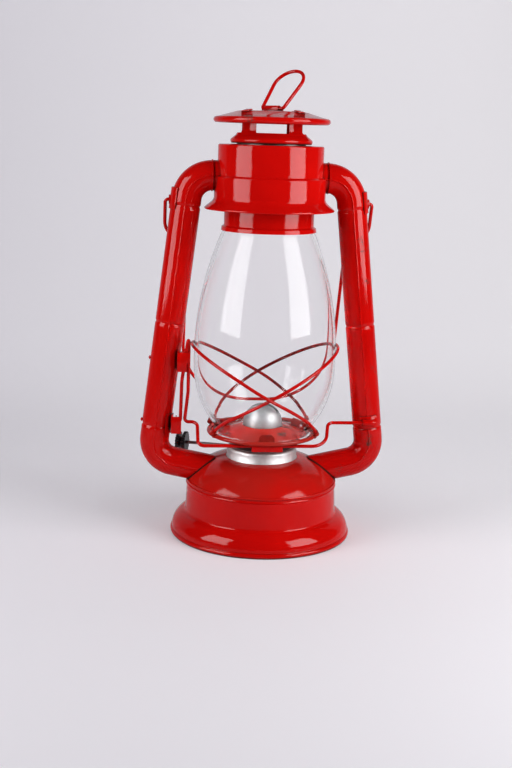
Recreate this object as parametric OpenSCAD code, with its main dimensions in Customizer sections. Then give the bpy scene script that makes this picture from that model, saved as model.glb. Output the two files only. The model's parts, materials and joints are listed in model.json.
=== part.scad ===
// Hurricane lantern: a fuel fount with a flat-wick burner, a glass globe between two air tubes,
// a hood with a spring-held chimney, a globe lift lever and a carrying bail.
// Millimetres. X to the right, Y away from the front, Z up, origin in the middle of the foot.

/* [Sheet, wire and play] */
// Thickness of the pressed sheet
sheet = 0.8; // [0.7:0.05:0.9]
// Diameter of the globe lift wire
lift_d = 2.5; // [2.2:0.1:2.8]
// Diameter of the globe guard wires
guard_d = 2.4; // [2:0.1:2.6]
// Diameter of the bail wire
bail_d = 2.5; // [2.2:0.1:2.8]
// Diameter of the lift ring wire
ring_d = 2.5; // [2.2:0.1:2.7]
// How much thinner a wire is in its bends, in radius
wire_draw = 0.03; // [0.02:0.01:0.05]
// How much thinner an air tube is in its bends, in radius
tube_draw = 0.12; // [0.1:0.01:0.2]
// Radial play of a round wire or shaft in its hole
play = 0.06; // [0.04:0.01:0.1]
// Space between pieces that pass each other
gap = 0.35; // [0.3:0.05:0.45]

/* [Fount] */
// Outer radius of the rolled foot rim
foot_r = 66.3; // [65:0.1:68]
// Diameter of the rolled foot rim
foot_bead = 4; // [3.6:0.1:4.4]
// Height where the skirt meets the wall
skirt_h = 16.5; // [15.5:0.5:18]
// Wall radius at the top of the skirt
wall_r = 55.5; // [54.5:0.1:56.5]
// How much the wall narrows to the seam
wall_taper = 0.9; // [0.5:0.1:1.3]
// Height of the seam between wall and dome
wall_h = 40; // [39:0.5:41.5]
// Rise of the dome above the seam
dome_rise = 17.1; // [16.5:0.1:18]
// Radius of the level middle of the dome
dome_flat_r = 24; // [23.5:0.1:24.5]

/* [Filler] */
// Place of the filler round the dome, from the right side to the back
filler_turn = 75; // [65:1:85]
// Tilt of the filler, square to the dome
filler_tilt = 28; // [26:0.5:29]
// Outer radius of the filler neck
filler_r = 9; // [8:0.1:9.5]
// Height of the filler cap
filler_cap_h = 7.5; // [7:0.1:8.5]

/* [Burner] */
// Outer radius of the bright burner collar
collar_r = 25.5; // [25.2:0.1:26]
// Height of the straight side of the collar
collar_h = 5.6; // [5.2:0.1:6]
// Radius of the burner cone
cone_r = 14.2; // [13.8:0.1:14.4]
// Height of the straight side of the burner cone
cone_wall_h = 9.5; // [9:0.1:10.5]
// Turn of the burner in the fount
burner_turn = 17; // [12:1:20]
// Width of the wick
wick_w = 17; // [15:0.5:17.5]
// Thickness of the wick
wick_t = 3; // [2.6:0.1:3.2]
// Diameter of the wick shaft
shaft_d = 2.4; // [2:0.1:2.6]
// Tip radius of the star wheels
star_r = 4.2; // [4:0.1:4.5]
// Reach of the wick shaft from the burner to the knob
knob_reach = 66; // [64:0.5:68]
// Diameter of the wick knob
knob_d = 16; // [14:0.5:17]

/* [Globe and its plate] */
// Rise of the globe seat above the dome
plate_rise = 18.4; // [18:0.1:19]
// Outer radius of the globe plate
plate_r = 40.8; // [40:0.1:41.5]
// Diameter of the rolled edge of the globe plate
plate_bead = 3.2; // [2.8:0.1:3.6]
// Height of the globe
globe_h = 148.2; // [145:0.5:152]
// Widest radius of the globe
globe_r = 51.3; // [51:0.1:51.5]
// Thickness of the glass
glass = 2.2; // [1.8:0.1:2.4]
// Height of the middle of the crossed guard wires above the seat
guard_mid = 34.5; // [33:0.5:36]
// Rise and fall of the guard wires about their middle
guard_swing = 30; // [28:0.5:31]

/* [Globe lift] */
// Height of the lift hinge above the globe seat
hinge_up = 9.7; // [9:0.1:10.5]
// Reach of the crank in front of the hinge
crank_reach = 19.1; // [18.5:0.1:20]
// Drop of the crank below the hinge
crank_drop = 12.7; // [12.5:0.1:13]
// Length of the lever above the hinge
lever_len = 60.6; // [58:0.2:63]
// Width of the strap that hangs on the crank
strap_w = 22; // [18:0.5:26]

/* [Air tubes] */
// Outer diameter of the air tubes
tube_d = 21.4; // [20.8:0.1:21.8]
// Wall of the air tubes
tube_wall = 0.7; // [0.6:0.05:0.9]
// Distance of the lower tube corner from the middle
tube_low_x = 80.5; // [80:0.1:82]
// Rise of the lower tube corner above the dome seam
tube_low_up = 15.8; // [15.5:0.1:16.5]
// Bend radius at the fount
low_bend = 16.7; // [15:0.1:18]
// Distance of the upper tube corner from the middle
tube_top_x = 56.6; // [56:0.1:58]
// Bend radius at the hood
top_bend = 18; // [17:0.1:19]
// Slope of the tube inlet
inlet_slope = 12; // [11:0.5:13]

/* [Hood] */
// Height of the drip edge above the globe top
hood_up = 13; // [12:0.1:14]
// Radius of the drip edge
drip_r = 46; // [45:0.1:47]
// Radius of the lower band
band_r = 39.4; // [38.8:0.1:40]
// Height of the step above the drip edge
step_up = 22.8; // [21.5:0.1:23.5]
// Radius of the upper drum
drum_r = 37.2; // [36.6:0.1:37.8]
// Height of the hood
hood_h = 45; // [44.5:0.1:47]
// Height of the tubes above the drip edge
tube_up = 23.1; // [22:0.1:24]

// Height of the flared drip edge
flare_h = 9; // [8.6:0.1:9.6]
// Slope of the drip edge from level
flare_slope = 40; // [36:1:42]
// Fillet above the drip edge
flare_fillet = 5; // [4.5:0.1:5.5]

/* [Chimney] */
// How much the chimney collar is narrower than the globe mouth, in radius
bell_in = 0.1; // [0:0.05:0.2]
// Flare of the collar lip over the globe
lip_out = 2.05; // [2.05:0.05:2.4]
// Height of the collar lip
lip_h = 4.5; // [4.5:0.1:5]
// Height of the chimney collar
bell_h = 17.6; // [16:0.1:18]
// Outer radius of the chimney tube
flue_r = 24.2; // [23.8:0.1:24.6]
// Widest radius of the crown
crown_r = 29.2; // [28.6:0.1:30.2]
// Radius of the crown posts
post_r = 23.6; // [23:0.1:24]
// Width of the crown windows
window_w = 22.5; // [20:0.1:24]
// Turn of the crown on the chimney
crown_turn = -4; // [-10:1:10]
// Height of the crown above the hood top
crown_up = 0.8; // [0.6:0.1:1.4]
// Outer radius of the cap
cap_r = 40.9; // [39:0.1:42.5]
// Diameter of the rolled cap edge
cap_bead = 4.4; // [4:0.1:4.8]
// Rise of the cap from its edge to its middle
cap_rise = 4.7; // [4:0.1:5.2]
// Radius of the level top of the cap
plateau_r = 24.6; // [24.4:0.1:26]
// Height of the cap edge above the hood top
cap_up = 16.6; // [16:0.1:17.5]
// Mean radius of the hood spring
spring_r = 29; // [28.5:0.1:30]
// Wire diameter of the hood spring
spring_d = 1.3; // [1:0.1:1.5]

/* [Lift ring] */
// Half width of the lift ring at its feet
ring_foot = 9.3; // [9:0.1:10.5]
// Half width of the lift ring across its top corners
ring_half = 13.5; // [12.5:0.1:14.5]
// Length of the lift ring
ring_len = 36; // [30:0.5:38]
// Lean of the lift ring from upright
ring_lean = 43; // [30:1:60]
// Turn of the ring bridge on the cap
ring_turn = 45; // [30:1:60]

/* [Bail] */
// Drop of the bail pivots below the tube top corner
bail_drop = 17.3; // [16:0.1:19]
// Distance of the bail shoulders from the middle
bail_x = 73.4; // [73.3:0.1:74.5]
// Distance of the bail legs from the middle
bail_leg_x = 57.5; // [57:0.1:58.5]
// Length of the bail
bail_len = 170; // [166:0.5:175]
// Lean of the hanging bail from upright
bail_lean = 22; // [21.8:0.1:24]
// Bend radius of the bail corners
bail_bend = 50; // [45:0.5:52]

/* [Hidden] */
$fn = 96;
wall_top_r = wall_r - wall_taper;
dome_top = wall_h + dome_rise;
dome_w = wall_top_r - dome_flat_r;
dome_R = (dome_w * dome_w + dome_rise * dome_rise) / (2 * dome_rise);
dome_z = dome_top - dome_R;
dome_a = asin((wall_h - dome_z) / dome_R);
skirt_a = foot_r - 1.1 - wall_r;
skirt_b = skirt_h - foot_bead;
skirt_R = (skirt_a * skirt_a + skirt_b * skirt_b) / (2 * skirt_a);
collar_top = dome_top + collar_h;
mouth_r = collar_r - 3.3;
gallery_top = collar_top + 6.3;
cone_base = gallery_top + 4;
shaft_back = wick_t / 2 + 0.3 + star_r;
shaft_z = dome_top + 3.7;
neck_r = cone_r - 0.7;
seat = dome_top + plate_rise;
eye_r = cone_r + 0.5;
bead_z = seat + 0.35;
plate_step = plate_r - 9.8;
globe_top = seat + globe_h;
low_R = 70;
low_c = [globe_r - 0.15 - low_R, seat + 49.3];
up_R = 230;
up_c = [globe_r - up_R, seat + 56];
join_z = seat + 46;
hinge_y = -(tube_d + lift_d) / 2 - gap;
hinge_z = seat + hinge_up;
crank_y = hinge_y - crank_reach;
crank_z = hinge_z - crank_drop;
crank_R = norm([crank_reach, crank_drop]);
hood_z = globe_top + hood_up;
hood_top = hood_z + hood_h;
tube_top_z = hood_z + tube_up;
tube_low_z = wall_h + tube_low_up;
lean = atan2(tube_low_x - tube_top_x, tube_top_z - tube_low_z);
mouth_out = up_c.x + sqrt(pow(up_R, 2) - pow(globe_top - up_c.y, 2));
bell_r = mouth_out - bell_in;
lip_z = globe_top - 1.6;
bell_top = lip_z + bell_h;
crown_z = hood_top + crown_up;
cap_z = hood_top + cap_up;
cap_edge_r = cap_r - cap_bead / 2;
cap_rim_z = cap_z + cap_bead / 2 - 0.2;
cap_top = cap_rim_z + cap_rise;
cap_fall = 0.6;
cap_slope = atan2(cap_rise - cap_fall, cap_edge_r - plateau_r);
ring_z = cap_top + ring_d / 2 + gap;
bail_z = tube_top_z - bail_drop;
bail_pin = tube_low_x - (bail_z - tube_low_z) * tan(lean) + tube_d / 2 - 4;
bail_eye = 2.3;

function unit(v) = v / norm(v);
function arc(c, r, a0, a1, n = 10) =
    [for (i = [0:n]) let (a = a0 + (a1 - a0) * i / n) [c.x + r * cos(a), c.y + r * sin(a)]];
function back(p) = [for (i = [len(p) - 1:-1:0]) p[i]];
function star(n, r1, r2) =
    [for (i = [0:2 * n - 1]) let (r = i % 2 == 0 ? r1 : r2) [r * cos(180 * i / n), r * sin(180 * i / n)]];
function wall_at(z) = wall_r - wall_taper * (z - skirt_h) / (wall_h - skirt_h);
function leg_x(z) = tube_low_x - (z - tube_low_z) * tan(lean);
function turn_at(p, i) = 180 - acos(unit(p[i - 1] - p[i]) * unit(p[i + 1] - p[i]));
function trim_at(p, r, i) = i <= 0 || i >= len(p) - 1 ? 0 : r[i - 1] * tan(turn_at(p, i) / 2);
// How far a straight length runs into the bend at its end
function lap_at(p, r, i) = i <= 0 || i >= len(p) - 1 ? 0 : 0.1 * sqrt(r[i - 1]);
// Globe outline, moved out by k square to the glass
function globe_at(z, k) = z < join_z
    ? low_c.x + sqrt(pow(low_R + k, 2) - pow(z - low_c.y, 2))
    : up_c.x + sqrt(pow(up_R + k, 2) - pow(z - up_c.y, 2));

module along(a, b) {
    d = b - a;
    translate(a) rotate([0, acos(d.z / norm(d)), atan2(d.y, d.x)]) children();
}

// Round wire through the points p with bend radii r, drawn thinner in its bends
module bent_wire(p, r, d, draw = wire_draw) {
    for (i = [0:len(p) - 2]) {
        u = unit(p[i + 1] - p[i]);
        a = p[i] + u * (trim_at(p, r, i) - lap_at(p, r, i));
        b = p[i + 1] - u * (trim_at(p, r, i + 1) - lap_at(p, r, i + 1));
        along(a, b) cylinder(d = d, h = norm(b - a));
    }
    for (i = [1:len(p) - 2]) {
        u = unit(p[i - 1] - p[i]);
        v = unit(p[i + 1] - p[i]);
        c = p[i] + unit(u + v) * r[i - 1] / cos(turn_at(p, i) / 2);
        x = unit(p[i] + u * trim_at(p, r, i) - c);
        y = -u;
        z = cross(x, y);
        multmatrix([[x.x, y.x, z.x, c.x], [x.y, y.y, z.y, c.y], [x.z, y.z, z.z, c.z], [0, 0, 0, 1]])
            rotate_extrude(angle = turn_at(p, i))
            translate([r[i - 1], 0])
            circle(d = d - 2 * draw);
    }
}

// Thin wire swept along many points, s sides
module swept_wire(p, r, s) {
    n = len(p);
    dirs = [for (i = [0:n - 1]) unit(p[min(i + 1, n - 1)] - p[max(i - 1, 0)])];
    pts = [for (i = [0:n - 1])
        let (q = [p[i].x, p[i].y, 0], t = dirs[i], e = unit(q - (q * t) * t), f = cross(t, e))
        for (k = [0:s - 1]) p[i] + r * (cos(360 * k / s) * e + sin(360 * k / s) * f)];
    sides = [for (i = [0:n - 2], k = [0:s - 1])
        let (a = i * s + k, b = i * s + (k + 1) % s) each [[a, a + s, b], [b, a + s, b + s]]];
    caps = [for (k = [1:s - 2]) each [[0, k, k + 1], [(n - 1) * s, (n - 1) * s + k + 1, (n - 1) * s + k]]];
    polyhedron(pts, concat(sides, caps));
}

module revolve(p) {
    rotate_extrude() polygon(p);
}

module ring_of(r, z, d) {
    translate([0, 0, z]) rotate_extrude() translate([r, 0]) circle(d = d);
}

// Frame of the right tube's straight leg at height z
module on_leg(z) {
    translate([leg_x(z), 0, z]) rotate([0, -lean, 0]) children();
}

module leg_solid(z) {
    on_leg(z) translate([0, 0, -25]) cylinder(d = tube_d + 0.04, h = 50);
}

// Sheet bent to the tube, from angle a0 to a1, height h
module saddle(z, h, a0, a1) {
    on_leg(z) rotate([0, 0, a0]) rotate_extrude(angle = a1 - a0)
        translate([tube_d / 2 - 0.6, -h / 2]) square([sheet + 0.62, h]);
}

module left() {
    mirror([1, 0, 0]) children();
}

module in_burner() {
    rotate([0, 0, -burner_turn]) children();
}

// Frame on the filler axis, Z outward, origin at the dome centre of curvature
module on_filler() {
    rotate([0, 0, filler_turn]) translate([dome_flat_r, 0, dome_z]) rotate([0, filler_tilt, 0]) children();
}

/* Fount */

module fount_bowl() color("firebrick") {
    c = [foot_r - 1.1 - skirt_R, foot_bead];
    a = 2 * atan(skirt_a / skirt_b);
    outer = concat([[c.x + skirt_R, 2.5]], arc(c, skirt_R, 0, a, 14), [[wall_at(wall_h - 1), wall_h - 1]]);
    inner = concat([[c.x + skirt_R - sheet, 2.5]], arc(c, skirt_R - sheet, 0, a, 14),
        [[wall_r - sheet, skirt_h + 0.4], [wall_at(wall_h - 1) - sheet, wall_h - 1]]);
    revolve(concat(outer, back(inner)));
    difference() {
        ring_of(foot_r - foot_bead / 2, foot_bead / 2 - 0.25, foot_bead);
        translate([0, 0, -2]) cylinder(r = foot_r + 5, h = 2);
    }
}

module fount_bottom() color("silver") {
    z = skirt_h + 1.2;
    translate([0, 0, z]) cylinder(r = wall_at(z + sheet) - sheet - 0.02, h = sheet);
}

module tank_top() color("silver") {
    z = wall_h - 2.6;
    difference() {
        translate([0, 0, z]) cylinder(r = wall_at(z + sheet) - sheet - 0.02, h = sheet);
        in_burner() translate([0, 0, z]) cube([wick_w + 3.1, wick_t + 3.1, 4], center = true);
        on_filler() cylinder(r = filler_r + 0.05, h = 60);
    }
}

module dome_envelope() {
    revolve(concat([[0, wall_h - 8], [wall_top_r - 2, wall_h - 8]],
        arc([dome_flat_r, dome_z], dome_R + 0.03, dome_a, 90, 14), [[0, dome_top + 0.03]]));
    ring_of(wall_top_r - 0.2, wall_h, 1.86);
}

module inlet_bore() {
    u = [cos(inlet_slope), 0, sin(inlet_slope)];
    corner = [tube_low_x, 0, tube_low_z];
    along(corner - 70 * u, corner) cylinder(d = tube_d - 2 * tube_wall, h = 60);
}

module fount_dome() color("firebrick") difference() {
    union() {
        revolve(concat(arc([dome_flat_r, dome_z], dome_R, dome_a, 90, 14), [[mouth_r, dome_top]],
            [[mouth_r, dome_top - sheet]], back(arc([dome_flat_r, dome_z], dome_R - sheet, dome_a, 90, 14))));
        ring_of(wall_top_r - 0.2, wall_h, 1.8);
    }
    inlet_bore();
    left() inlet_bore();
    on_filler() cylinder(r = filler_r + 0.05, h = 60);
}

module filler_neck() color("silver") on_filler() difference() {
    union() {
        translate([0, 0, dome_R - 17]) cylinder(r = filler_r, h = 22);
        translate([0, 0, dome_R + 0.7]) cylinder(r = filler_r + 1.8, h = sheet);
    }
    cylinder(r = filler_r - sheet, h = 70);
}

module filler_gasket() color("dimgray") on_filler() difference() {
    translate([0, 0, dome_R + 5.02]) cylinder(r = filler_r, h = 1.2);
    cylinder(r = filler_r - 2.4, h = 70);
}

module filler_cap() color("silver") on_filler() difference() {
    union() {
        translate([0, 0, dome_R + 2.1]) linear_extrude(4.4) polygon(star(30, filler_r + 2, filler_r + 1.6));
        translate([0, 0, dome_R + 6.5]) cylinder(r1 = filler_r + 1.2, r2 = filler_r + 0.4, h = filler_cap_h - 6.2);
    }
    translate([0, 0, dome_R - 1]) cylinder(r = filler_r + gap, h = 7.52);
}

/* Burner */

module burner_collar() color("silver") difference() {
    revolve(concat([[collar_r, dome_top - 1]], arc([collar_r - 2.4, collar_top], 2.4, 0, 80, 8),
        [[mouth_r, collar_top + 2.4], [mouth_r, collar_top + 1.6]],
        back(arc([collar_r - 2.4, collar_top], 1.5, 0, 80, 8)), [[collar_r - 0.9, dome_top - 1]]));
    dome_envelope();
    in_burner() translate([0, shaft_back, shaft_z]) rotate([0, -90, 0]) cylinder(d = shaft_d + 2 * gap, h = 40);
}

module burner_gallery() color("dimgray") difference() {
    revolve([[neck_r + 0.1, gallery_top], [mouth_r - 0.1, collar_top + 2.6], [mouth_r - 0.1, collar_top + 2],
        [neck_r + 0.1, gallery_top - 0.6]]);
    for (k = [0:17]) rotate([0, 0, 20 * k]) translate([mouth_r - 4, 0, collar_top]) cylinder(d = 2.2, h = 9);
}

module burner_body() color("silver") difference() {
    union() {
        translate([0, 0, dome_top + 0.1]) cylinder(r = collar_r - 1.2, h = sheet);
        translate([0, 0, dome_top - 3.4]) cylinder(r = neck_r, h = cone_base + 5.4 - dome_top);
    }
    translate([0, 0, dome_top - 3.4 + sheet]) cylinder(r = neck_r - sheet, h = 40);
    in_burner() {
        translate([0, 0, dome_top - 3]) cube([wick_w + 3.1, wick_t + 3.1, 4], center = true);
        translate([16, shaft_back, shaft_z]) rotate([0, -90, 0]) cylinder(d = shaft_d + 2 * play, h = 32);
    }
    for (k = [0:7]) rotate([0, 0, 45 * k + 22.5]) translate([neck_r + 4.4, 0, dome_top - 1]) cylinder(d = 4.6, h = 4);
}

module wick_tube() color("silver") in_burner() difference() {
    translate([0, 0, (wall_h - 5 + cone_base + 14) / 2])
        cube([wick_w + 3, wick_t + 3, cone_base + 14 - wall_h + 5], center = true);
    translate([0, 0, dome_top]) cube([wick_w + 1.4, wick_t + 1.4, 120], center = true);
    translate([0, wick_t, shaft_z]) cube([wick_w - 1, wick_t + 3, 2 * star_r + 2], center = true);
}

module burner_cone() color("silver") difference() {
    union() {
        translate([0, 0, cone_base]) cylinder(r = cone_r, h = cone_wall_h);
        translate([0, 0, cone_base + cone_wall_h]) sphere(r = cone_r);
    }
    translate([0, 0, cone_base - 20]) cylinder(r = cone_r - 0.6, h = 20 + cone_wall_h);
    translate([0, 0, cone_base + cone_wall_h]) sphere(r = cone_r - 0.6);
    translate([0, 0, cone_base - 30]) cylinder(r = cone_r + 3, h = 30);
    in_burner() translate([0, 0, cone_base + cone_wall_h + 12]) cube([wick_w + 5, wick_t + 2, 12], center = true);
}

module wick() color("oldlace") in_burner() {
    z = skirt_h + 10;
    translate([0, 0, (z + cone_base + 18.5) / 2]) cube([wick_w, wick_t, cone_base + 18.5 - z], center = true);
}

module wick_shaft() color("silver") in_burner()
    translate([15, shaft_back, shaft_z]) rotate([0, -90, 0]) cylinder(d = shaft_d, h = 14 + knob_reach);

module star_wheels() color("silver") in_burner() for (x = [-5, 5])
    translate([x - 0.6, shaft_back, shaft_z]) rotate([0, 90, 0]) difference() {
        linear_extrude(1.2) polygon(star(10, star_r, star_r - 1.4));
        translate([0, 0, -1]) cylinder(d = shaft_d + 0.04, h = 4);
    }

module wick_knob() color("dimgray") in_burner()
    translate([-knob_reach, shaft_back, shaft_z]) rotate([0, 90, 0]) difference() {
        union() {
            linear_extrude(2.4) polygon(star(20, knob_d / 2 - 0.3, knob_d / 2 - 1.3));
            translate([0, 0, 2]) cylinder(d = knob_d * 0.5, h = 3.4);
            translate([0, 0, 5]) linear_extrude(2.4) polygon(star(20, knob_d / 2, knob_d / 2 - 1));
        }
        translate([0, 0, 0.8]) cylinder(d = shaft_d + 0.04, h = 10);
    }

/* Globe plate, globe and guard */

// Centreline of a guard wire about its high point, s lifts it off its partner at the crossings
function guard_z(a) = seat + guard_mid + guard_swing * cos(a) - 5 * pow(max(0, abs(a) - 130) / 26, 2);
function guard_bump(a, s) = abs(abs(a) - 90) < 28 ? s * pow(cos(90 * (abs(a) - 90) / 28), 2) : 0;
function guard_r(z) = max(globe_at(z, guard_d / 2 + 0.4), plate_r + 0.7 + 0.1 * (z - seat - 6));
function guard_at(a, s) = let (z = guard_z(a), r = guard_r(z) + guard_bump(a, s)) [r * cos(a), r * sin(a), z];
function guard_run(s) = [for (i = [0:66]) guard_at(-150 + 300 * i / 66, s)];
guard_end = guard_at(150, 0);
guard_dir = unit(guard_end - guard_at(149, 0));
function guard_path(s) = let (e = guard_end + 5.5 * guard_dir, p = guard_run(s))
    concat([[e.x, -e.y, e.z]], p, [e]);

module guard_lug() {
    e = guard_end + 5.6 * guard_dir;
    along(e - 4.2 * guard_dir, e) cylinder(d = guard_d + 1.6, h = 4.2);
    rotate([0, 0, atan2(e.y, e.x) - 2]) translate([plate_r - 2.4, -1.5, seat - 0.6])
        cube([norm([e.x, e.y]) - plate_r + 2.4, 3, e.z - seat + 0.8]);
}

module guard_bore() {
    e = guard_end + 5.6 * guard_dir;
    along(e - 9 * guard_dir, e + 4 * guard_dir) cylinder(d = guard_d + 0.1, h = 13);
}

module globe_plate() color("firebrick") difference() {
    union() {
        revolve([[plate_r - plate_bead / 2, seat], [plate_step, seat], [eye_r + 0.8, seat + 5.5], [eye_r, seat + 5.5],
            [eye_r, seat + 5.5 - sheet], [eye_r + 0.7, seat + 5.5 - sheet], [plate_step - 0.1, seat - sheet],
            [plate_r - plate_bead / 2, seat - sheet]]);
        ring_of(plate_r - plate_bead / 2, bead_z, plate_bead);
        for (a = [-90, 30, 150]) rotate([0, 0, a]) translate([plate_step + 0.6, 0, seat - 0.4]) rotate([90, 0, -90])
            linear_extrude(0.8) polygon([[-5.5, 0], [5.5, 0], [5.5, 3.6], [3.4, 5.9], [-3.4, 5.9], [-5.5, 3.6]]);
        for (m = [0, 1], k = [0, 1]) mirror([m, 0, 0]) mirror([0, k, 0]) guard_lug();
    }
    for (m = [0, 1], k = [0, 1]) mirror([m, 0, 0]) mirror([0, k, 0]) guard_bore();
}

module plate_strap() color("firebrick") difference() {
    fore = crank_y + crank_reach - crank_R - lift_d / 2 - gap - 0.1;
    aft = crank_y + lift_d / 2 + gap + 0.1;
    low = crank_z - lift_d / 2 - 2 * gap;
    translate([-strap_w / 2, fore - sheet, low - sheet])
        cube([strap_w, aft - fore + 2 * sheet, seat + 6 - low]);
    translate([-strap_w / 2 - 1, fore, low]) cube([strap_w + 2, aft - fore, seat + 8 - low]);
    revolve([[0, seat + 5.5 - sheet - 0.05], [eye_r + 0.7, seat + 5.5 - sheet - 0.05], [plate_step - 0.1, seat - sheet - 0.05],
        [plate_r + 9, seat - sheet - 0.05], [plate_r + 9, seat + 20], [0, seat + 20]]);
    ring_of(plate_r - plate_bead / 2, bead_z, plate_bead + 0.1);
}

module globe() color("lightcyan", 0.4) {
    z0 = seat + 5.3;
    a0 = asin((z0 - low_c.y) / low_R);
    a1 = asin((join_z - low_c.y) / low_R);
    b0 = asin((join_z - up_c.y) / up_R);
    b1 = asin((globe_top - up_c.y) / up_R);
    i0 = asin((z0 - low_c.y) / (low_R - glass));
    i1 = asin((join_z - low_c.y) / (low_R - glass));
    j0 = asin((join_z - up_c.y) / (up_R - glass));
    j1 = asin((globe_top - up_c.y) / (up_R - glass));
    outer = concat([[globe_at(z0, 0), seat + 0.02]], arc(low_c, low_R, a0, a1, 16), arc(up_c, up_R, b0 + 0.3, b1, 20));
    inner = concat([[globe_at(z0, -glass), seat + 0.02]], arc(low_c, low_R - glass, i0, i1, 16),
        arc(up_c, up_R - glass, j0 + 0.3, j1, 20));
    revolve(concat(outer, back(inner)));
}

module guard_wire_right() color("firebrick") swept_wire(guard_path(0), guard_d / 2, 8);

module guard_wire_left() color("firebrick") left() swept_wire(guard_path(guard_d + 0.4), guard_d / 2, 8);

/* Globe lift */

function on_hinge(x) = [x, hinge_y, hinge_z];
function on_crank(x) = [x, crank_y, crank_z];
function on_lever(x, s) = [x, hinge_y, hinge_z + s];
lever_in = globe_r + guard_d + 0.4 + 0.1 + lift_d / 2;
lever_out = lever_in + 4.6;
lever_mid = 30;
lever_fore = 2.6;
stub_x = lever_out + 7.4;
eye_end = leg_x(hinge_z) + 2.5;

module lift_wire() color("firebrick") {
    top = lever_len - lift_d / 2;
    path = [on_hinge(eye_end), on_hinge(46.5), on_crank(42.5), on_crank(-48.5), on_hinge(-48.5),
        on_hinge(-lever_in - 2.3), on_lever(-lever_in, 22), on_lever(-lever_in, top),
        on_lever(-lever_in - 0.9, top) - [0, lever_fore, 0], on_lever(-lever_out, lever_mid),
        on_hinge(-lever_out - 0.6), on_hinge(-stub_x)];
    bend = norm([0.9, lever_fore]) / 2 - 0.1;
    bent_wire(path, [4.5, 12, 4.5, 4.5, 2.6, 30, bend, bend, 30, 2.2], lift_d);
}

module lever_bracket() color("firebrick") left() difference() {
    h = 12.4;
    z = hinge_z + 4.2 - h;
    front = hinge_y - lift_d / 2 - 1.95;
    union() {
        saddle(hinge_z - 2, h + 2, 186, 236);
        translate([stub_x - 1, front, z]) cube([sheet, -front - 5, h]);
        translate([stub_x - 4.2, front, z]) cube([sheet, 5.6, h]);
        translate([stub_x - 7.4, front, z]) cube([7.2, sheet, h]);
    }
    leg_solid(hinge_z);
    along(on_hinge(stub_x - 12), on_hinge(stub_x + 0.4)) cylinder(d = lift_d + 2 * play, h = 12.4);
}

module lever_clip() color("firebrick") left() difference() {
    z = seat + 47;
    front = hinge_y - lever_fore - lift_d / 2 - sheet;
    x = leg_x(z + 7) - tube_d / 2 + 1.6;
    union() {
        saddle(z + 7, 12, 176, 218);
        translate([x, front, z]) cube([sheet, -front - 4, 14]);
        translate([lever_in - 1, front, z + 6.5]) cube([x + sheet - lever_in + 1, sheet, 7.5]);
        translate([lever_in + 1.4, front, z]) cube([x + sheet - lever_in - 1.4, sheet, 7]);
    }
    leg_solid(z + 7);
}

module right_wire_eye() color("firebrick") difference() {
    x = leg_x(hinge_z);
    union() {
        saddle(hinge_z, 9, 232, 306);
        translate([x - 5, hinge_y, hinge_z]) rotate([0, 90, 0]) cylinder(d = lift_d + 2, h = 9);
        translate([x - 5, hinge_y, hinge_z - lift_d / 2 - 1]) cube([9, -hinge_y - 6, lift_d + 2]);
    }
    leg_solid(hinge_z);
    translate([x - 8, hinge_y, hinge_z]) rotate([0, 90, 0]) cylinder(d = lift_d + 2 * play, h = eye_end - x + 8.4);
}

/* Air tubes */

function tube_path(k) = [
    [tube_low_x - 50 * cos(inlet_slope), 0, tube_low_z - 50 * sin(inlet_slope)],
    [tube_low_x, 0, tube_low_z], [tube_top_x, 0, tube_top_z], [drum_r - 2.4 - k, 0, tube_top_z]];
rivet_z = [seat + 53, hinge_z - 2.5];

module tube_body() difference() {
    bent_wire(tube_path(0), [low_bend, top_bend], tube_d, tube_draw);
    bent_wire(tube_path(3), [low_bend, top_bend], tube_d - 2 * tube_wall, tube_draw);
    dome_envelope();
    on_bail_pin() cylinder(d = bail_d + 2 * gap, h = tube_d);
}

module right_tube() color("firebrick") tube_body();

module left_tube() color("firebrick") left() difference() {
    tube_body();
    for (z = rivet_z) on_leg(z) rotate([0, 90, 0]) cylinder(d = 2, h = 20);
}

module tube_rivets() color("firebrick") left() for (z = rivet_z) on_leg(z) rotate([0, 90, 0]) {
    translate([0, 0, tube_d / 2 - tube_wall - 0.3]) cylinder(d = 1.9, h = 1.2);
    translate([0, 0, tube_d / 2 + 0.06]) revolve(concat([[0, 0]], arc([0, -0.7], 1.8, 23, 90, 6)));
}

// Frame on the bail pivot inside the right tube, Z outward
module on_bail_pin() {
    translate([bail_pin, 0, bail_z]) rotate([0, 90, 0]) children();
}

module bail_ear() difference() {
    union() {
        saddle(bail_z, 15, -48, 48);
        on_bail_pin() cylinder(r = bail_d / 2 + 2, h = bail_x - bail_eye - 0.1 - bail_pin);
    }
    leg_solid(bail_z);
    on_bail_pin() cylinder(d = bail_d + 2 * play, h = tube_d);
}

module left_bail_ear() color("firebrick") left() bail_ear();

module right_bail_ear() color("firebrick") bail_ear();

function on_bail(x, s) = [x, s * sin(bail_lean), bail_z - s * cos(bail_lean)];

module bail() color("firebrick") {
    half = [[bail_pin, 0], [bail_x, 0], [bail_x, 22], [bail_leg_x, 42], [bail_leg_x, bail_len]];
    path = concat([for (q = half) on_bail(q.x, q.y)], [for (q = back(half)) on_bail(-q.x, q.y)]);
    bent_wire(path, [bail_eye, 14, 14, bail_bend, bail_bend, 14, 14, bail_eye], bail_d);
}

/* Hood and chimney */

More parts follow.
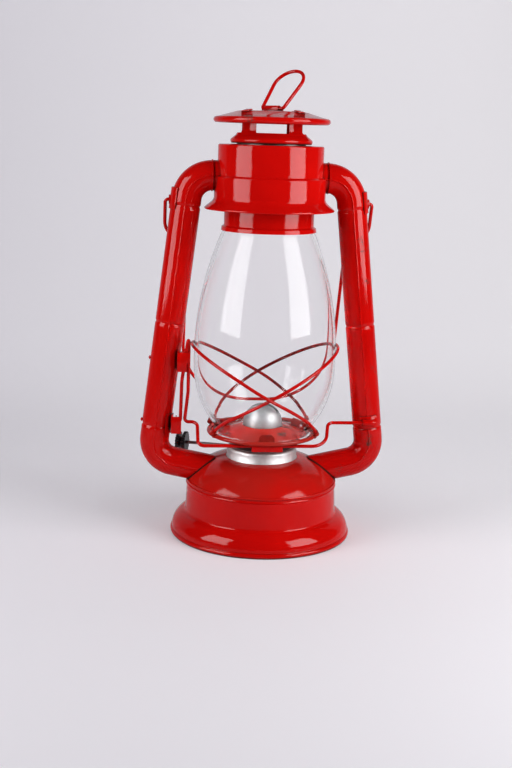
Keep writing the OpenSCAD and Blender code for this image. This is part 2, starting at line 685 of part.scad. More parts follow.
module canopy() color("firebrick") difference() {
    step = hood_z + step_up;
    c = [band_r + flare_fillet, hood_z + flare_h];
    turned = 270 - flare_slope;
    skin = arc(c, flare_fillet, 180, turned, 8);
    lining = arc(c, flare_fillet + sheet, 180, turned, 8);
    fall = tan(flare_slope);
    revolve(concat([[flue_r + 0.5, hood_top], [drum_r - 0.8, hood_top], [drum_r, hood_top - 0.8],
        [drum_r, step + 0.7], [band_r, step - 0.5]], skin,
        [[drip_r, skin[8].y - (drip_r - skin[8].x) * fall], [drip_r, hood_z], [drip_r - sheet, hood_z],
        [drip_r - sheet, lining[8].y - (drip_r - sheet - lining[8].x) * fall]], back(lining),
        [[band_r - sheet, step - 1], [drum_r - sheet, step + 0.2],
        [drum_r - sheet, hood_top - 1.2], [drum_r - 1.2, hood_top - sheet], [flue_r + 0.5, hood_top - sheet]]));
    translate([-2 * drip_r, 0, tube_top_z]) rotate([0, 90, 0]) cylinder(d = tube_d + 0.06, h = 4 * drip_r);
}

function lip_at(z) = bell_r - sheet + lip_out * (lip_z + lip_h - z) / lip_h;

module chimney_collar() color("firebrick") {
    low = globe_top + gap;
    high = low + sheet;
    revolve([[bell_r, bell_top], [bell_r, lip_z + lip_h], [bell_r + lip_out, lip_z], [lip_at(lip_z), lip_z],
        [lip_at(low), low], [bell_r - 4.2, low], [bell_r - 4.2, high], [lip_at(high), high],
        [bell_r - sheet, lip_z + lip_h], [bell_r - sheet, bell_top - sheet], [flue_r - sheet, bell_top - sheet],
        [flue_r - sheet, bell_top]]);
}

module chimney_tube() color("silver") difference() {
    translate([0, 0, bell_top + 0.02]) cylinder(r = flue_r, h = crown_z + 4.5 - bell_top);
    cylinder(r = flue_r - sheet, h = 400);
}

// Outline of the top of the cap from its edge to its middle, moved up by k
function cap_line(k) = [[cap_edge_r, cap_rim_z + k], [plateau_r, cap_top - cap_fall + k],
    [plateau_r - 3, cap_top - 0.4 * cap_fall + k], [0, cap_top + k]];

module crown() color("firebrick") rotate([0, 0, crown_turn]) difference() {
    z = crown_z;
    top = cap_top - cap_fall - sheet - 0.12;
    flap = cap_top - cap_fall + 0.08 + (plateau_r - post_r + sheet) * tan(cap_slope);
    union() {
        revolve([[flue_r + 0.03, z], [crown_r - 1.6, z], [crown_r - 0.4, z + 1], [crown_r, z + 2.4],
            [crown_r - 0.8, z + 3.8], [crown_r - 2.6, z + 5.2], [post_r + 0.9, z + 6.6], [post_r, z + 8.6], [post_r, top],
            [post_r - sheet, top], [post_r - sheet, z + 8.4], [post_r + 0.1, z + 6.4], [crown_r - 3.3, z + 4.6],
            [crown_r - 1.5, z + 3.2], [crown_r - 0.8, z + 2.3], [crown_r - 1.2, z + 1.4], [crown_r - 2, z + sheet],
            [flue_r + 0.03, z + sheet]]);
        for (k = [0:3]) rotate([0, 0, 45 + 90 * k]) {
            translate([post_r - sheet, -3, top - 2]) cube([sheet - 0.1, 6, flap + sheet - top + 2]);
            translate([post_r - sheet, -3, flap]) rotate([0, cap_slope, 0]) cube([5.5, 6, sheet]);
        }
    }
    for (a = [0, 90]) rotate([0, 0, a]) translate([-40, -window_w / 2, z + 7.2]) cube([80, window_w, 8]);
}

module chimney_cap() color("firebrick") difference() {
    union() {
        revolve(concat(cap_line(0), back(cap_line(-sheet))));
        ring_of(cap_edge_r, cap_z, cap_bead);
    }
    for (k = [0:3]) rotate([0, 0, crown_turn + 45 + 90 * k])
        translate([post_r - sheet - 0.06, -3.06, cap_z]) cube([sheet + 0.1, 6.12, 20]);
}

module on_ring() {
    translate([0, 0, ring_z]) rotate([0, 0, -ring_turn]) children();
}

module ring_bridge() color("firebrick") difference() {
    half = ring_foot - 3.1;
    on_ring() {
        translate([-half, 0, 0]) rotate([0, 90, 0]) cylinder(d = ring_d + 1.6, h = 2 * half);
        translate([-half, -ring_d / 2 - 0.8, -3]) cube([2 * half, ring_d + 1.6, 3]);
        translate([-half, -4.4, -3]) cube([2 * half, 8.8, 2.2]);
    }
    revolve(concat(cap_line(0.02), [[0, cap_z - 4], [cap_edge_r, cap_z - 4]]));
    on_ring() translate([-10, 0, 0]) rotate([0, 90, 0]) cylinder(d = ring_d + 2 * play, h = 20);
}

module lift_ring() color("firebrick") on_ring() rotate([-ring_lean, 0, 0])
    let (spread = atan2(ring_half - ring_foot, ring_len), top = (ring_half - 0.05) / tan(45 + spread / 2))
    bent_wire([[2.5, 0, 0], [ring_foot, 0, 0], [ring_half, 0, ring_len], [-ring_half, 0, ring_len], [-ring_foot, 0, 0],
        [-2.5, 0, 0]], [2, top, top, 2], ring_d);

spring_low = bell_top + spring_d / 2 + gap;
spring_high = hood_top - sheet - spring_d / 2 - 0.05;
spring_turns = 5;
function spring_path() = [for (i = [0:8 * spring_turns]) let (a = 45 * i)
    [spring_r * cos(a), spring_r * sin(a), spring_low + (spring_high - spring_low) * i / (8 * spring_turns)]];
echo(spring_least_gap = (spring_high - spring_low) / spring_turns - spring_d);

module hood_spring() color("silver") swept_wire(spring_path(), spring_d / 2, 6);

fount_bowl();
fount_bottom();
tank_top();
fount_dome();
filler_neck();
filler_gasket();
filler_cap();
burner_collar();
burner_gallery();
burner_body();
wick_tube();
burner_cone();
wick();
wick_shaft();
star_wheels();
wick_knob();
globe_plate();
plate_strap();
globe();
guard_wire_left();
guard_wire_right();
lift_wire();
lever_bracket();
lever_clip();
right_wire_eye();
tube_rivets();
left_tube();
right_tube();
left_bail_ear();
right_bail_ear();
bail();
canopy();
chimney_collar();
chimney_tube();
crown();
chimney_cap();
ring_bridge();
lift_ring();
hood_spring();
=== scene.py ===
import json
import math

import bpy
from mathutils import Matrix, Vector

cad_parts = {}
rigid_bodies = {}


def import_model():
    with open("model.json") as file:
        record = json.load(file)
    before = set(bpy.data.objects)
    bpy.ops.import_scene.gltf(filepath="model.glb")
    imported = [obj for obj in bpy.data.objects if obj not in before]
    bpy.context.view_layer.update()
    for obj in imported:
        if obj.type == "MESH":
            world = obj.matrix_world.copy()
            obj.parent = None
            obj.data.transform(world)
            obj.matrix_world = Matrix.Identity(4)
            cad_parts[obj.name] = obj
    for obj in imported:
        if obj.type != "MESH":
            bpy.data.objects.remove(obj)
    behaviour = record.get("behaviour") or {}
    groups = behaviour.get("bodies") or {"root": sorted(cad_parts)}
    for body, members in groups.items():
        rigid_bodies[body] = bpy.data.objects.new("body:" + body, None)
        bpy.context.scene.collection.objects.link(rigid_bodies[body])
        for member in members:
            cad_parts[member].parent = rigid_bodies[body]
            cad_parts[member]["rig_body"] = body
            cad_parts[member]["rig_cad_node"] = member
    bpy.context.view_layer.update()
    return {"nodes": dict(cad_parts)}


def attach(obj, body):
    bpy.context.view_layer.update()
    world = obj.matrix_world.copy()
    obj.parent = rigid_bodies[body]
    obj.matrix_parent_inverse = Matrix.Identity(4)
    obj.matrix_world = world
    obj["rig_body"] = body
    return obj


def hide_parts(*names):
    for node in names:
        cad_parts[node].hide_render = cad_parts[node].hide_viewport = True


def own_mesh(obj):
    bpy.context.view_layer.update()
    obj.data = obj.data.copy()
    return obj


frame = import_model()
nodes = frame["nodes"]
mm = 0.001
print("frame loaded:", len(nodes), "nodes")

# lines drawn in the X-Z plane, millimetres


def arcPoints(centre, radius, startDeg, endDeg, count):
    points = []
    for i in range(count + 1):
        a = math.radians(startDeg + (endDeg - startDeg) * i / count)
        points.append((centre[0] + radius * math.cos(a), centre[1] + radius * math.sin(a)))
    return points


def roundedLine(points, radii, count=6):
    # a line with each inner corner rounded by its own radius
    line = [points[0]]
    for i in range(1, len(points) - 1):
        corner = Vector(points[i])
        toBack = (Vector(points[i - 1]) - corner).normalized()
        toNext = (Vector(points[i + 1]) - corner).normalized()
        half = toBack.angle(toNext) / 2
        radius = radii[i - 1]
        if radius <= 0 or half > 1.56:
            line.append(points[i])
            continue
        centre = corner + (toBack + toNext).normalized() * radius / math.sin(half)
        first = corner + toBack * radius / math.tan(half) - centre
        last = corner + toNext * radius / math.tan(half) - centre
        sweep = first.angle_signed(last)
        for k in range(count + 1):
            turned = first.copy()
            turned.rotate(Matrix.Rotation(-sweep * k / count, 2))
            line.append(tuple(centre + turned))
    line.append(points[-1])
    return line


# modelling by operators


def deselect():
    bpy.ops.object.select_all(action="DESELECT")


def editMode():
    bpy.ops.object.mode_set(mode="EDIT")


def objectMode():
    bpy.ops.object.mode_set(mode="OBJECT")


def makeActive(piece):
    deselect()
    piece.select_set(True)
    bpy.context.view_layer.objects.active = piece


def smoothByAngle(piece, degrees=38):
    makeActive(piece)
    bpy.ops.object.shade_smooth_by_angle(angle=math.radians(degrees))


def spunPiece(name, outline, steps=128, closed=True, smoothDeg=38):
    # one vertex drawn out into the outline, then spun round the lamp's axis
    deselect()
    bpy.ops.mesh.primitive_plane_add(size=mm)
    piece = bpy.context.object
    piece.name = name
    editMode()
    bpy.ops.mesh.merge(type="CENTER")
    x, z = outline[0]
    bpy.ops.transform.translate(value=(x * mm, 0, z * mm))
    line = list(outline) + ([outline[0]] if closed else [])
    for (x0, z0), (x1, z1) in zip(line, line[1:]):
        step = ((x1 - x0) * mm, 0, (z1 - z0) * mm)
        bpy.ops.mesh.extrude_region_move(TRANSFORM_OT_translate={"value": step})
    bpy.ops.mesh.select_all(action="SELECT")
    bpy.ops.mesh.spin(steps=steps, angle=2 * math.pi, center=(0, 0, 0), axis=(0, 0, 1))
    bpy.ops.mesh.select_all(action="SELECT")
    bpy.ops.mesh.remove_doubles(threshold=2e-6)
    bpy.ops.mesh.normals_make_consistent(inside=False)
    objectMode()
    smoothByAngle(piece, smoothDeg)
    return piece


def applyModifiers(piece):
    makeActive(piece)
    for modifier in list(piece.modifiers):
        bpy.ops.object.modifier_apply(modifier=modifier.name)


def settle(piece):
    # place, turn and size go into the mesh, so the object sits at the origin
    makeActive(piece)
    bpy.ops.object.transform_apply(location=True, rotation=True, scale=True)


def joinInto(piece, others):
    makeActive(piece)
    for other in others:
        other.select_set(True)
    bpy.ops.object.join()
    return piece


def bevelled(piece, width, segments=2, degrees=35):
    modifier = piece.modifiers.new("edge", "BEVEL")
    modifier.width = width * mm
    modifier.segments = segments
    modifier.limit_method = "ANGLE"
    modifier.angle_limit = math.radians(degrees)
    applyModifiers(piece)
    return piece


def cutAway(piece, cutters):
    for cutter in cutters:
        modifier = piece.modifiers.new("cut", "BOOLEAN")
        modifier.object = cutter
        modifier.operation = "DIFFERENCE"
        modifier.solver = "EXACT"
    applyModifiers(piece)
    for cutter in cutters:
        bpy.data.objects.remove(cutter)


def box(name, centre, size, turnDeg=0.0):
    deselect()
    bpy.ops.mesh.primitive_cube_add(size=1, location=[c * mm for c in centre])
    piece = bpy.context.object
    piece.name = name
    piece.scale = [s * mm for s in size]
    settle(piece)
    if turnDeg:
        piece.rotation_euler.z = math.radians(turnDeg)
        settle(piece)
    return piece


def wirePiece(name, points, thickness, sides=16, cyclic=False):
    # a round wire along many points
    curve = bpy.data.curves.new(name, "CURVE")
    curve.dimensions = "3D"
    curve.bevel_depth = thickness / 2 * mm
    curve.bevel_resolution = sides // 4
    curve.use_fill_caps = True
    spline = curve.splines.new("POLY")
    spline.points.add(len(points) - 1)
    for spot, point in zip(spline.points, points):
        spot.co = (point[0] * mm, point[1] * mm, point[2] * mm, 1)
    spline.use_cyclic_u = cyclic
    piece = bpy.data.objects.new(name, curve)
    bpy.context.scene.collection.objects.link(piece)
    makeActive(piece)
    bpy.ops.object.convert(target="MESH")
    smoothByAngle(piece, 50)
    return piece


def softCopy(node, bevel=0.12):
    # a CAD solid with its sharp sheet edges broken
    makeActive(nodes[node])
    bpy.ops.object.duplicate()
    piece = bpy.context.object
    piece.name = node + "Sheet"
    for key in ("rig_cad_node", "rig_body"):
        if key in piece:
            del piece[key]
    piece.parent = None
    editMode()
    bpy.ops.mesh.select_all(action="SELECT")
    bpy.ops.mesh.remove_doubles(threshold=2e-6)
    bpy.ops.mesh.dissolve_limited(angle_limit=math.radians(1))
    objectMode()
    piece.data.materials.clear()
    bevelled(piece, bevel)
    smoothByAngle(piece, 40)
    return piece


def dress(piece, body, slot, material, *replaced):
    piece.data.materials.clear()
    piece.data.materials.append(material)
    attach(piece, body)
    if replaced:
        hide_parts(*replaced)
    return piece


# materials


def nodeOf(tree, kind, **values):
    made = tree.nodes.new(kind)
    for key, value in values.items():
        if key in made.inputs:
            made.inputs[key].default_value = value
        else:
            setattr(made, key, value)
    return made


def newGroup(name, inputs, outputs):
    tree = bpy.data.node_groups.new(name, "ShaderNodeTree")
    for label, kind, value in inputs:
        socket = tree.interface.new_socket(label, in_out="INPUT", socket_type=kind)
        socket.default_value = value
    for label, kind in outputs:
        tree.interface.new_socket(label, in_out="OUTPUT", socket_type=kind)
    return tree, tree.nodes.new("NodeGroupInput"), tree.nodes.new("NodeGroupOutput")


def makeRange(tree, value, low, high, outLow=0.0, outHigh=1.0):
    ranged = nodeOf(tree, "ShaderNodeMapRange")
    for label, number in (("From Min", low), ("From Max", high), ("To Min", outLow), ("To Max", outHigh)):
        ranged.inputs[label].default_value = number
    tree.links.new(value, ranged.inputs["Value"])
    return ranged.outputs["Result"]


def mixColour(tree, factor, first, second):
    mix = nodeOf(tree, "ShaderNodeMix", data_type="RGBA")
    for socket, value in ((mix.inputs[0], factor), (mix.inputs[6], first), (mix.inputs[7], second)):
        if isinstance(value, bpy.types.NodeSocket):
            tree.links.new(value, socket)
        else:
            socket.default_value = value
    return mix.outputs[2]


def math2(tree, operation, first, second):
    made = nodeOf(tree, "ShaderNodeMath", operation=operation)
    for socket, value in zip(made.inputs, (first, second)):
        if isinstance(value, bpy.types.NodeSocket):
            tree.links.new(value, socket)
        else:
            socket.default_value = value
    return made.outputs[0]


def buildWearGroup():
    # chips in the paint: small specks gathered in patches
    tree, given, out = newGroup(
        "paintWear",
        [("Patch Scale", "NodeSocketFloat", 60.0), ("Speck Scale", "NodeSocketFloat", 900.0),
         ("Amount", "NodeSocketFloat", 0.5)],
        [("Mask", "NodeSocketFloat")])
    place = nodeOf(tree, "ShaderNodeTexCoord")
    patch = nodeOf(tree, "ShaderNodeTexNoise", Detail=3.0)
    speck = nodeOf(tree, "ShaderNodeTexNoise", Detail=5.0, Roughness=0.65)
    for texture, label in ((patch, "Patch Scale"), (speck, "Speck Scale")):
        tree.links.new(place.outputs["Object"], texture.inputs["Vector"])
        tree.links.new(given.outputs[label], texture.inputs["Scale"])
    patchMask = makeRange(tree, patch.outputs["Fac"], 0.55, 0.75)
    limit = math2(tree, "MULTIPLY", patchMask, given.outputs["Amount"])
    level = math2(tree, "ADD", speck.outputs["Fac"], math2(tree, "MULTIPLY", limit, 0.35))
    tree.links.new(makeRange(tree, level, 0.78, 0.81), out.inputs["Mask"])
    return tree


def buildPaintedShadeGroup():
    # painted shade: darkening where the surface is closed in, in seams and corners, made uneven by noise
    tree, given, out = newGroup(
        "paintedCornerShade",
        [("Reach", "NodeSocketFloat", 0.004), ("Amount", "NodeSocketFloat", 0.8)],
        [("Mask", "NodeSocketFloat")])
    hollow = nodeOf(tree, "ShaderNodeAmbientOcclusion", samples=8)
    tree.links.new(given.outputs["Reach"], hollow.inputs["Distance"])
    place = nodeOf(tree, "ShaderNodeTexCoord")
    noise = nodeOf(tree, "ShaderNodeTexNoise", Scale=160.0, Detail=4.0)
    tree.links.new(place.outputs["Object"], noise.inputs["Vector"])
    closeIn = makeRange(tree, hollow.outputs["AO"], 0.78, 0.46)
    uneven = math2(tree, "MULTIPLY", closeIn, makeRange(tree, noise.outputs["Fac"], 0.1, 0.4))
    tree.links.new(math2(tree, "MULTIPLY", uneven, given.outputs["Amount"]), out.inputs["Mask"])
    return tree


def buildMottleGroup():
    # slow change of tone and a fine ripple, as brushed or dipped coats have
    tree, given, out = newGroup(
        "coatMottle",
        [("Slow Scale", "NodeSocketFloat", 25.0), ("Fine Scale", "NodeSocketFloat", 700.0)],
        [("Tone", "NodeSocketFloat"), ("Ripple", "NodeSocketFloat")])
    place = nodeOf(tree, "ShaderNodeTexCoord")
    for label, socket, detail in (("Slow Scale", "Tone", 4.0), ("Fine Scale", "Ripple", 2.0)):
        noise = nodeOf(tree, "ShaderNodeTexNoise", Detail=detail)
        tree.links.new(place.outputs["Object"], noise.inputs["Vector"])
        tree.links.new(given.outputs[label], noise.inputs["Scale"])
        tree.links.new(noise.outputs["Fac"], out.inputs[socket])
    return tree


wearGroup = buildWearGroup()
paintedShadeGroup = buildPaintedShadeGroup()
mottleGroup = buildMottleGroup()


def startMaterial(name):
    material = bpy.data.materials.new(name)
    material.use_nodes = True
    tree = material.node_tree
    return material, tree, tree.nodes["Principled BSDF"]


def useGroup(tree, group, **values):
    made = nodeOf(tree, "ShaderNodeGroup")
    made.node_tree = group
    for key, value in values.items():
        made.inputs[key.replace("_", " ")].default_value = value
    return made


def addBump(tree, shader, height, strength, distance):
    bump = nodeOf(tree, "ShaderNodeBump", Strength=strength, Distance=distance)
    tree.links.new(height, bump.inputs["Height"])
    tree.links.new(bump.outputs["Normal"], shader.inputs["Normal"])


enamel = {
    "bright": (0.62, 0.0032, 0.002, 1),
    "deep": (0.49, 0.0024, 0.0018, 1),
    "bare": (0.07, 0.036, 0.028, 1),
    # colour of the painted shade in seams and corners, also used for the dark line where a tube enters the dome
    "shadeDark": (0.028, 0.008, 0.006, 1),
    "dust": (0.24, 0.045, 0.03, 1),
}


def enamelMaterial(name, wear, shadeDark, dust=0.0, seamMask=None):
    material, tree, shader = startMaterial(name)
    mottle = useGroup(tree, mottleGroup, Slow_Scale=22.0, Fine_Scale=520.0)
    chips = useGroup(tree, wearGroup, Patch_Scale=70.0, Speck_Scale=1500.0, Amount=wear)
    cornerShade = useGroup(tree, paintedShadeGroup, Reach=0.003, Amount=shadeDark)
    tone = makeRange(tree, mottle.outputs["Tone"], 0.3, 0.7)
    paint = mixColour(tree, tone, enamel["deep"], enamel["bright"])
    dustMask = makeRange(tree, mottle.outputs["Tone"], 0.62, 0.4, dust * 0.35, dust)
    dusty = mixColour(tree, dustMask, paint, enamel["dust"])
    chipped = mixColour(tree, chips.outputs["Mask"], dusty, enamel["bare"])
    # painted shade: the coat darkens in seams and corners, joined by the dark joint line where seamMask is
    # given
    shadeAndJointMask = cornerShade.outputs["Mask"]
    if seamMask:
        shadeAndJointMask = math2(tree, "MAXIMUM", shadeAndJointMask, seamMask(tree))
    shadedSurface = mixColour(tree, shadeAndJointMask, chipped, enamel["shadeDark"])
    tree.links.new(shadedSurface, shader.inputs["Base Color"])
    rough = makeRange(tree, mottle.outputs["Tone"], 0.2, 0.8, 0.04, 0.09)
    rough = math2(tree, "ADD", rough, math2(tree, "MULTIPLY", dustMask, 0.2))
    worn = math2(tree, "ADD", rough, math2(tree, "MULTIPLY", chips.outputs["Mask"], 0.35))
    tree.links.new(math2(tree, "ADD", worn, math2(tree, "MULTIPLY", shadeAndJointMask, 0.4)),
                   shader.inputs["Roughness"])
    shader.inputs["Specular IOR Level"].default_value = 0.13
    height = math2(tree, "SUBTRACT", mottle.outputs["Ripple"], chips.outputs["Mask"])
    addBump(tree, shader, height, 0.12, 0.0004)
    return material


def tinMaterial(name, colour, roughLow, roughHigh):
    # tinned sheet: pale spangle with fine rolling lines
    material, tree, shader = startMaterial(name)
    place = nodeOf(tree, "ShaderNodeTexCoord")
    spangle = nodeOf(tree, "ShaderNodeTexVoronoi", Scale=260.0)
    tree.links.new(place.outputs["Object"], spangle.inputs["Vector"])
    mottle = useGroup(tree, mottleGroup, Slow_Scale=70.0, Fine_Scale=1400.0)
    # painted shade: the tinned sheet darkens in seams and corners
    cornerShade = useGroup(tree, paintedShadeGroup, Reach=0.003, Amount=0.7)
    dull = tuple(c * 0.72 for c in colour[:3]) + (1,)
    tone = makeRange(tree, spangle.outputs["Distance"], 0.0, 0.6)
    sheetTone = mixColour(tree, math2(tree, "MULTIPLY", tone, mottle.outputs["Tone"]), colour, dull)
    shadedSurface = mixColour(tree, cornerShade.outputs["Mask"], sheetTone, (0.06, 0.05, 0.045, 1))
    tree.links.new(shadedSurface, shader.inputs["Base Color"])
    tree.links.new(makeRange(tree, mottle.outputs["Tone"], 0.3, 0.7, roughLow, roughHigh),
                   shader.inputs["Roughness"])
    shader.inputs["Metallic"].default_value = 1.0
    addBump(tree, shader, mottle.outputs["Ripple"], 0.15, 0.0002)
    return material


def darkMaterial(name, colour):
    material, tree, shader = startMaterial(name)
    mottle = useGroup(tree, mottleGroup, Slow_Scale=120.0, Fine_Scale=1100.0)
    chips = useGroup(tree, wearGroup, Patch_Scale=160.0, Speck_Scale=1200.0, Amount=1.0)
    worn = mixColour(tree, chips.outputs["Mask"], colour, (0.32, 0.31, 0.30, 1))
    tree.links.new(mixColour(tree, mottle.outputs["Tone"], worn, tuple(c * 0.5 for c in colour[:3]) + (1,)),
                   shader.inputs["Base Color"])
    tree.links.new(makeRange(tree, mottle.outputs["Tone"], 0.3, 0.7, 0.32, 0.55), shader.inputs["Roughness"])
    shader.inputs["Metallic"].default_value = 0.6
    addBump(tree, shader, mottle.outputs["Ripple"], 0.3, 0.0003)
    return material


def glassMaterial():
    material, tree, shader = startMaterial("globeGlass")
    mottle = useGroup(tree, mottleGroup, Slow_Scale=9.0, Fine_Scale=40.0)
    tree.links.new(mixColour(tree, mottle.outputs["Tone"], (0.985, 0.98, 0.985, 1), (1.0, 1.0, 1.0, 1)),
                   shader.inputs["Base Color"])
    tree.links.new(makeRange(tree, mottle.outputs["Tone"], 0.3, 0.7, 0.0, 0.035), shader.inputs["Roughness"])
    shader.inputs["Transmission Weight"].default_value = 1.0
    shader.inputs["IOR"].default_value = 1.2
    addBump(tree, shader, mottle.outputs["Ripple"], 0.05, 0.0006)
    return material


def wickMaterial():
    # woven cotton tape
    material, tree, shader = startMaterial("cottonWick")
    place = nodeOf(tree, "ShaderNodeTexCoord")
    weave = nodeOf(tree, "ShaderNodeTexWave", Scale=420.0, Distortion=0.6)
    rib = nodeOf(tree, "ShaderNodeTexWave", Scale=300.0, bands_direction="Z")
    for texture in (weave, rib):
        tree.links.new(place.outputs["Object"], texture.inputs["Vector"])
    cloth = math2(tree, "MULTIPLY", weave.outputs["Fac"], rib.outputs["Fac"])
    tree.links.new(mixColour(tree, cloth, (0.42, 0.37, 0.29, 1), (0.80, 0.75, 0.64, 1)),
                   shader.inputs["Base Color"])
    tree.links.new(makeRange(tree, cloth, 0.0, 1.0, 0.95, 0.8), shader.inputs["Roughness"])
    addBump(tree, shader, cloth, 0.6, 0.0004)
    return material


def rubberMaterial():
    material, tree, shader = startMaterial("rubberGasket")
    mottle = useGroup(tree, mottleGroup, Slow_Scale=150.0, Fine_Scale=1500.0)
    tree.links.new(mixColour(tree, mottle.outputs["Tone"], (0.02, 0.02, 0.02, 1), (0.06, 0.055, 0.05, 1)),
                   shader.inputs["Base Color"])
    tree.links.new(makeRange(tree, mottle.outputs["Tone"], 0.3, 0.7, 0.6, 0.8), shader.inputs["Roughness"])
    addBump(tree, shader, mottle.outputs["Ripple"], 0.2, 0.0002)
    return material


# after each name: the amount of paint wear, then the amount of painted shade in seams and corners
redSheet = enamelMaterial("redEnamelSheet", 0.45, 0.85)
redWire = enamelMaterial("redEnamelWire", 1.0, 0.6)
redWorn = enamelMaterial("redEnamelWorn", 0.95, 1.0)
redPlate = enamelMaterial("redEnamelPlate", 1.3, 0.3, dust=0.55)
redDull = enamelMaterial("redEnamelDull", 0.6, 0.85, dust=0.22)
brightTin = tinMaterial("brightTin", (0.72, 0.72, 0.725, 1), 0.56, 0.7)
softTin = tinMaterial("softTin", (0.52, 0.525, 0.535, 1), 0.5, 0.66)
darkKnob = darkMaterial("darkKnob", (0.07, 0.07, 0.075, 1))
darkPlate = darkMaterial("darkPlate", (0.20, 0.20, 0.20, 1))
clearGlass = glassMaterial()
cotton = wickMaterial()
rubber = rubberMaterial()
print("materials made")

# fount

fount = {"footR": 66.29, "beadD": 4.0, "skirtH": 16.5, "wallR": 55.5, "wallTopR": 54.6, "wallH": 40.0,
         "sheet": 0.8, "domeRise": 17.1, "domeFlatR": 24.0, "mouthR": 22.2}


def makeFountBowl():
    f = fount
    beadC = (f["footR"] - f["beadD"] / 2, f["beadD"] / 2 - 0.25)
    skirtA = f["footR"] - 1.1 - f["wallR"]
    skirtB = f["skirtH"] - f["beadD"]
    skirtR = (skirtA ** 2 + skirtB ** 2) / (2 * skirtA)
    centre = (f["footR"] - 1.1 - skirtR, f["beadD"])
    lift = math.degrees(math.asin(skirtB / skirtR))
    crease = roundedLine([arcPoints(centre, skirtR, lift, lift - 9, 1)[1], (f["wallR"], f["skirtH"]),
                          (f["wallR"] - 0.2, f["skirtH"] + 5)], [2.2], 6)
    wallTop = [(f["wallTopR"] + 0.08, f["wallH"] - 3.6), (f["wallTopR"] + 0.5, f["wallH"] - 3.1),
               (f["wallTopR"] + 0.75, f["wallH"] - 2.6), (f["wallTopR"] + 0.5, f["wallH"] - 2.1),
               (f["wallTopR"] + 0.05, f["wallH"] - 1.7), (f["wallTopR"], f["wallH"] - 1)]
    outer = wallTop[::-1] + crease[::-1] + arcPoints(centre, skirtR, lift - 10, 0, 18)
    bead = arcPoints(beadC, f["beadD"] / 2, 64, -61, 14) + arcPoints(beadC, f["beadD"] / 2, -119, -244, 14)
    groove = [(f["footR"] - 1.3, f["beadD"] - 0.15)]
    inner = [(x - f["sheet"], z) for x, z in arcPoints(centre, skirtR, 2, lift, 12)]
    inner += [(f["wallR"] - f["sheet"], f["skirtH"] + 0.5), (f["wallTopR"] - f["sheet"], f["wallH"] - 1)]
    return spunPiece("fountBowl", outer + groove + bead + inner, 160, smoothDeg=42)


def domeArc():
    f = fount
    width = f["wallTopR"] - f["domeFlatR"]
    radius = (width ** 2 + f["domeRise"] ** 2) / (2 * f["domeRise"])
    return radius, (f["domeFlatR"], f["wallH"] + f["domeRise"] - radius)


def makeFountDome():
    f = fount
    radius, centre = domeArc()
    top = f["wallH"] + f["domeRise"]
    start = math.degrees(math.asin((f["wallH"] + 0.7 - centre[1]) / radius))
    lipC = (f["wallTopR"] - 0.2, f["wallH"])
    lip = arcPoints(lipC, 0.9, -100, 52, 8)
    outer = lip + arcPoints(centre, radius, start, 90, 36) + [(f["mouthR"], top)]
    inner = arcPoints(centre, radius - f["sheet"], 90, start, 24)
    return spunPiece("fountDome", outer + [(f["mouthR"], top - f["sheet"])] + inner, 160, smoothDeg=42)


dress(makeFountBowl(), "frame", "red_enamel", redSheet, "fount_bowl")
dress(makeFountDome(), "frame", "red_enamel", redDull, "fount_dome")
print("fount made")

# burner collar

burner = {"collarR": 25.5, "collarH": 5.6, "roll": 2.4, "sheet": 0.9, "mouthR": 22.2, "base": 57.1}


def makeBurnerCollar():
    b = burner
    top = b["base"] + b["collarH"]
    foot = [(b["collarR"] + 0.5, b["base"] - 0.6), (b["collarR"] + 0.5, b["base"] + 0.2),
            (b["collarR"], b["base"] + 0.9)]
    rollC = (b["collarR"] - b["roll"], top)
    outer = foot + arcPoints(rollC, b["roll"], 0, 80, 12) + [(b["mouthR"], top + b["roll"])]
    inner = [(b["mouthR"], top + b["roll"] - 0.8)] + arcPoints(rollC, b["roll"] - b["sheet"], 80, 0, 8)
    return spunPiece("burnerCollar", outer + inner + [(b["collarR"] - b["sheet"], b["base"] - 0.6)], 128)


dress(makeBurnerCollar(), "frame", "tin_plate", brightTin, "burner_collar")

# glass globe

glass = {"seat": 75.5, "height": 148.2, "wide": 51.3, "wall": 2.2, "lowR": 70.0, "upR": 230.0,
         "lowUp": 49.3, "upUp": 56.0, "joinUp": 46.0, "footUp": 5.3}


def globeRadius(z, out=0.0):
    g = glass
    if z < g["seat"] + g["joinUp"]:
        belly, radius, mid = g["wide"] - 0.15, g["lowR"], g["seat"] + g["lowUp"]
    else:
        belly, radius, mid = g["wide"], g["upR"], g["seat"] + g["upUp"]
    return belly - radius + math.sqrt((radius + out) ** 2 - (z - mid) ** 2)


def makeGlobe():
    g = glass
    bottom, top = g["seat"] + 0.02, g["seat"] + g["height"]
    foot = g["seat"] + g["footUp"]
    heights = [foot + (top - foot) * i / 70 for i in range(71)]
    outer = [(globeRadius(foot), bottom + 0.4)] + [(globeRadius(z), z) for z in heights]
    rim = arcPoints((globeRadius(top) - g["wall"] / 2, top), g["wall"] / 2, 0, 180, 8)[1:-1]
    rim = [(x, top + (z - top) * 0.25) for x, z in rim]
    inner = [(globeRadius(z, -g["wall"]), z) for z in heights[::-1]]
    inner += [(globeRadius(foot, -g["wall"]), bottom + 0.4)]
    return spunPiece("glassGlobe", outer + rim + inner, 160, smoothDeg=60)


dress(makeGlobe(), "globe_carrier", "globe_glass", clearGlass, "globe")
print("globe made")

# globe guards: two wires that cross at front and back

guard = {"thick": 2.4, "mid": 34.5, "swing": 30.0, "plateR": 40.8, "endTurn": 150, "endLen": 5.5}


def guardPoint(a, lift):
    g = guard
    seat = glass["seat"]
    turn = abs(a)
    z = seat + g["mid"] + g["swing"] * math.cos(math.radians(a)) - 5 * (max(0, turn - 130) / 26) ** 2
    bump = lift * math.cos(math.radians(90 * (turn - 90) / 28)) ** 2 if abs(turn - 90) < 28 else 0
    r = max(globeRadius(z, g["thick"] / 2 + 0.4), g["plateR"] + 0.7 + 0.1 * (z - seat - 6)) + bump
    return Vector((r * math.cos(math.radians(a)), r * math.sin(math.radians(a)), z))


